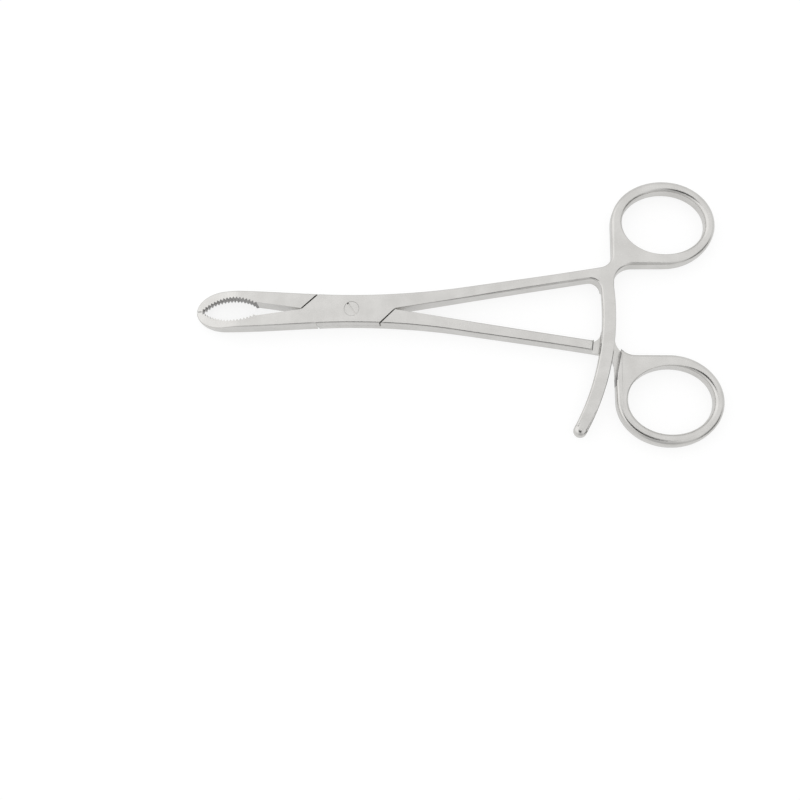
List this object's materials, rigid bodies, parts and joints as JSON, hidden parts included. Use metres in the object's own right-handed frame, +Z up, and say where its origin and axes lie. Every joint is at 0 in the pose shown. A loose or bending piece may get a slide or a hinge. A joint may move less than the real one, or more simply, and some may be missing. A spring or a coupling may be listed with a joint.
{
  "type": "bone holding forceps",
  "caption": "Surgical forceps with curved serrated jaws, a screwed half-lap joint, long shanks, oval finger rings and a curved ratchet bar.",
  "frame": {"origin": "on the pivot screw's axis, in the flat underside of the joint", "axes": "+X from the joint towards the finger rings, along the closed forceps; +Z up, out of the face with the screw's head; +Y towards the ring that carries the ratchet bar"},
  "size_m": [0.1701, 0.089, 0.0064],
  "materials": {
    "satin_steel": "satin stainless steel",
    "ratchet_steel": "satin stainless steel with cut teeth",
    "screw_steel": "satin stainless steel, ground flush"
  },
  "bodies": {
    "catch_half": {"catch_half_jaw": "satin_steel", "catch_half_lap": "satin_steel", "catch_half_shank": "satin_steel", "ratchet_catch": "ratchet_steel", "catch_half_ring": "satin_steel", "pivot_screw": "screw_steel"},
    "ratchet_half": {"ratchet_half_jaw": "satin_steel", "ratchet_half_lap": "satin_steel", "ratchet_half_shank": "satin_steel", "ratchet_bar_root": "satin_steel", "ratchet_bar": "ratchet_steel", "ratchet_half_ring": "satin_steel"}
  },
  "joints": [
    {"name": "pivot_hinge", "type": "hinge", "parent": "catch_half", "child": "ratchet_half", "pos_m": [0, 0, 0.0032], "axis": [0, 0, 1], "range_deg": [0, 32]}
  ]
}
